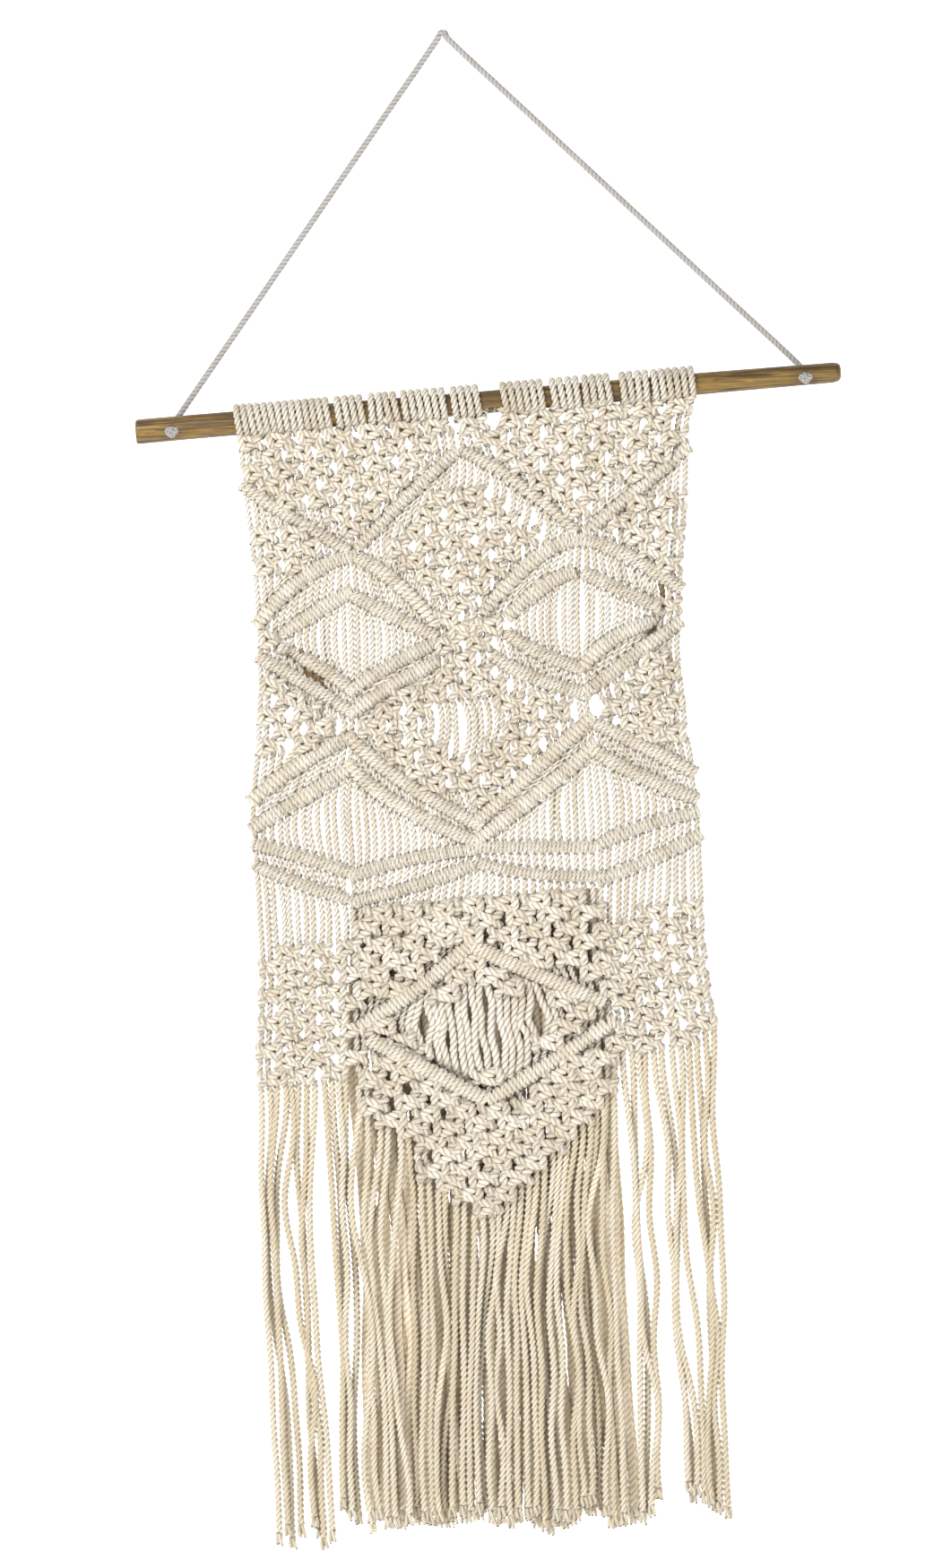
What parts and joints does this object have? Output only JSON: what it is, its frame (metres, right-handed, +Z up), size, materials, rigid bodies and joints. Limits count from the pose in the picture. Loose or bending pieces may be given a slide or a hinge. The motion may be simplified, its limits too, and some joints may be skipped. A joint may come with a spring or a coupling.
{
  "type": "macrame wall hanging on a wooden rod",
  "caption": "Knotted cotton cord wall hanging on a round wooden rod, with openwork nets, leaf-shaped windows, a central diamond with a pointed rim, a long fringe and a cord hanger.",
  "frame": {"origin": "the point inside the bend of the hanger cord where a wall nail carries it", "axes": "+Z up, +X to the right along the wall, +Y towards the wall, so that a viewer stands at -Y"},
  "size_m": [0.438, 0.0302, 0.9337],
  "materials": {
    "rod_wood": "hand-sanded branch, oiled honey brown",
    "heading_cotton": "twisted ecru cotton cord",
    "knotted_cotton": "knotted ecru cotton cord",
    "fringe_cotton": "three-ply twisted ecru cotton cord, cut ends",
    "back_fringe_cotton": "three-ply twisted ecru cotton cord, behind the cloth",
    "hanger_cotton": "twisted off-white cotton cord"
  },
  "bodies": {
    "root": {"rod": "rod_wood", "hanger_cord": "hanger_cotton", "hanger_knot_left": "hanger_cotton", "hanger_knot_right": "hanger_cotton", "heading_1": "heading_cotton", "heading_2": "heading_cotton", "heading_3": "heading_cotton", "heading_4": "heading_cotton", "heading_5": "heading_cotton", "heading_6": "heading_cotton", "heading_7": "heading_cotton", "heading_8": "heading_cotton", "heading_9": "heading_cotton", "heading_10": "heading_cotton", "knotted_cloth": "knotted_cotton", "fringe_left": "fringe_cotton", "fringe_right": "fringe_cotton", "fringe_point": "fringe_cotton", "fringe_back": "back_fringe_cotton"}
  },
  "joints": []
}
